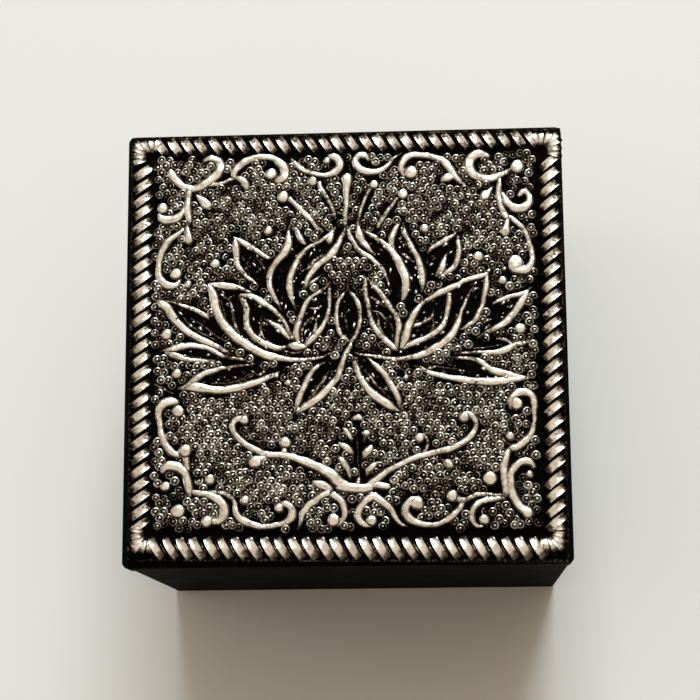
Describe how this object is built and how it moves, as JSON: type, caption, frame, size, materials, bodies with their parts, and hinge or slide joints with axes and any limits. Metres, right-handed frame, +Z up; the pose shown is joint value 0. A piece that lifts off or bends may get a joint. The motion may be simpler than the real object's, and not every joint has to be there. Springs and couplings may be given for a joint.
{
  "type": "hinged rosin box",
  "caption": "Small square hinged wooden box, black finished, with an embossed antique pewter lotus sheet on its lid and a round rosin cake seated in a velvet lining.",
  "frame": {"origin": "middle of the footprint, on the surface the box stands on", "axes": "+Z up, +X to the right, -Y the front, hinges at +Y; closed lid at rest"},
  "size_m": [0.06, 0.06, 0.0483],
  "materials": {
    "black_wood": "satin",
    "pewter": "satin",
    "pitch": "matte",
    "velvet": "matte",
    "pad_foam": "matte",
    "base_felt": "matte",
    "brass": "satin",
    "rosin": "gloss"
  },
  "bodies": {
    "body": {"base_felt": "base_felt", "bottom_panel": "black_wood", "body_front_wall": "black_wood", "body_back_wall": "black_wood", "body_left_wall": "black_wood", "body_right_wall": "black_wood", "body_floor_lining": "velvet", "body_front_lining": "velvet", "body_back_lining": "velvet", "body_left_lining": "velvet", "body_right_lining": "velvet", "cake_seat": "velvet", "cake_plinth": "pad_foam", "rosin_cake": "rosin", "hinge_body_leaf_left": "brass", "hinge_body_leaf_right": "brass", "hinge_pin_left": "brass", "hinge_pin_right": "brass", "hinge_body_screws": "brass"},
    "lid": {"lid_top_panel": "black_wood", "lid_front_rail": "black_wood", "lid_back_rail": "black_wood", "lid_left_rail": "black_wood", "lid_right_rail": "black_wood", "lid_top_lining": "velvet", "lid_front_lining": "velvet", "lid_back_lining": "velvet", "lid_left_lining": "velvet", "lid_right_lining": "velvet", "plate_filler": "pitch", "relief_plate": "pewter", "hinge_lid_leaf_left": "brass", "hinge_lid_leaf_right": "brass", "hinge_lid_screws": "brass"}
  },
  "joints": [
    {"name": "lid_hinge", "type": "hinge", "parent": "body", "child": "lid", "pos_m": [0, 0.0286, 0.025], "axis": [-1, 0, 0], "range_deg": [0, 105]}
  ]
}
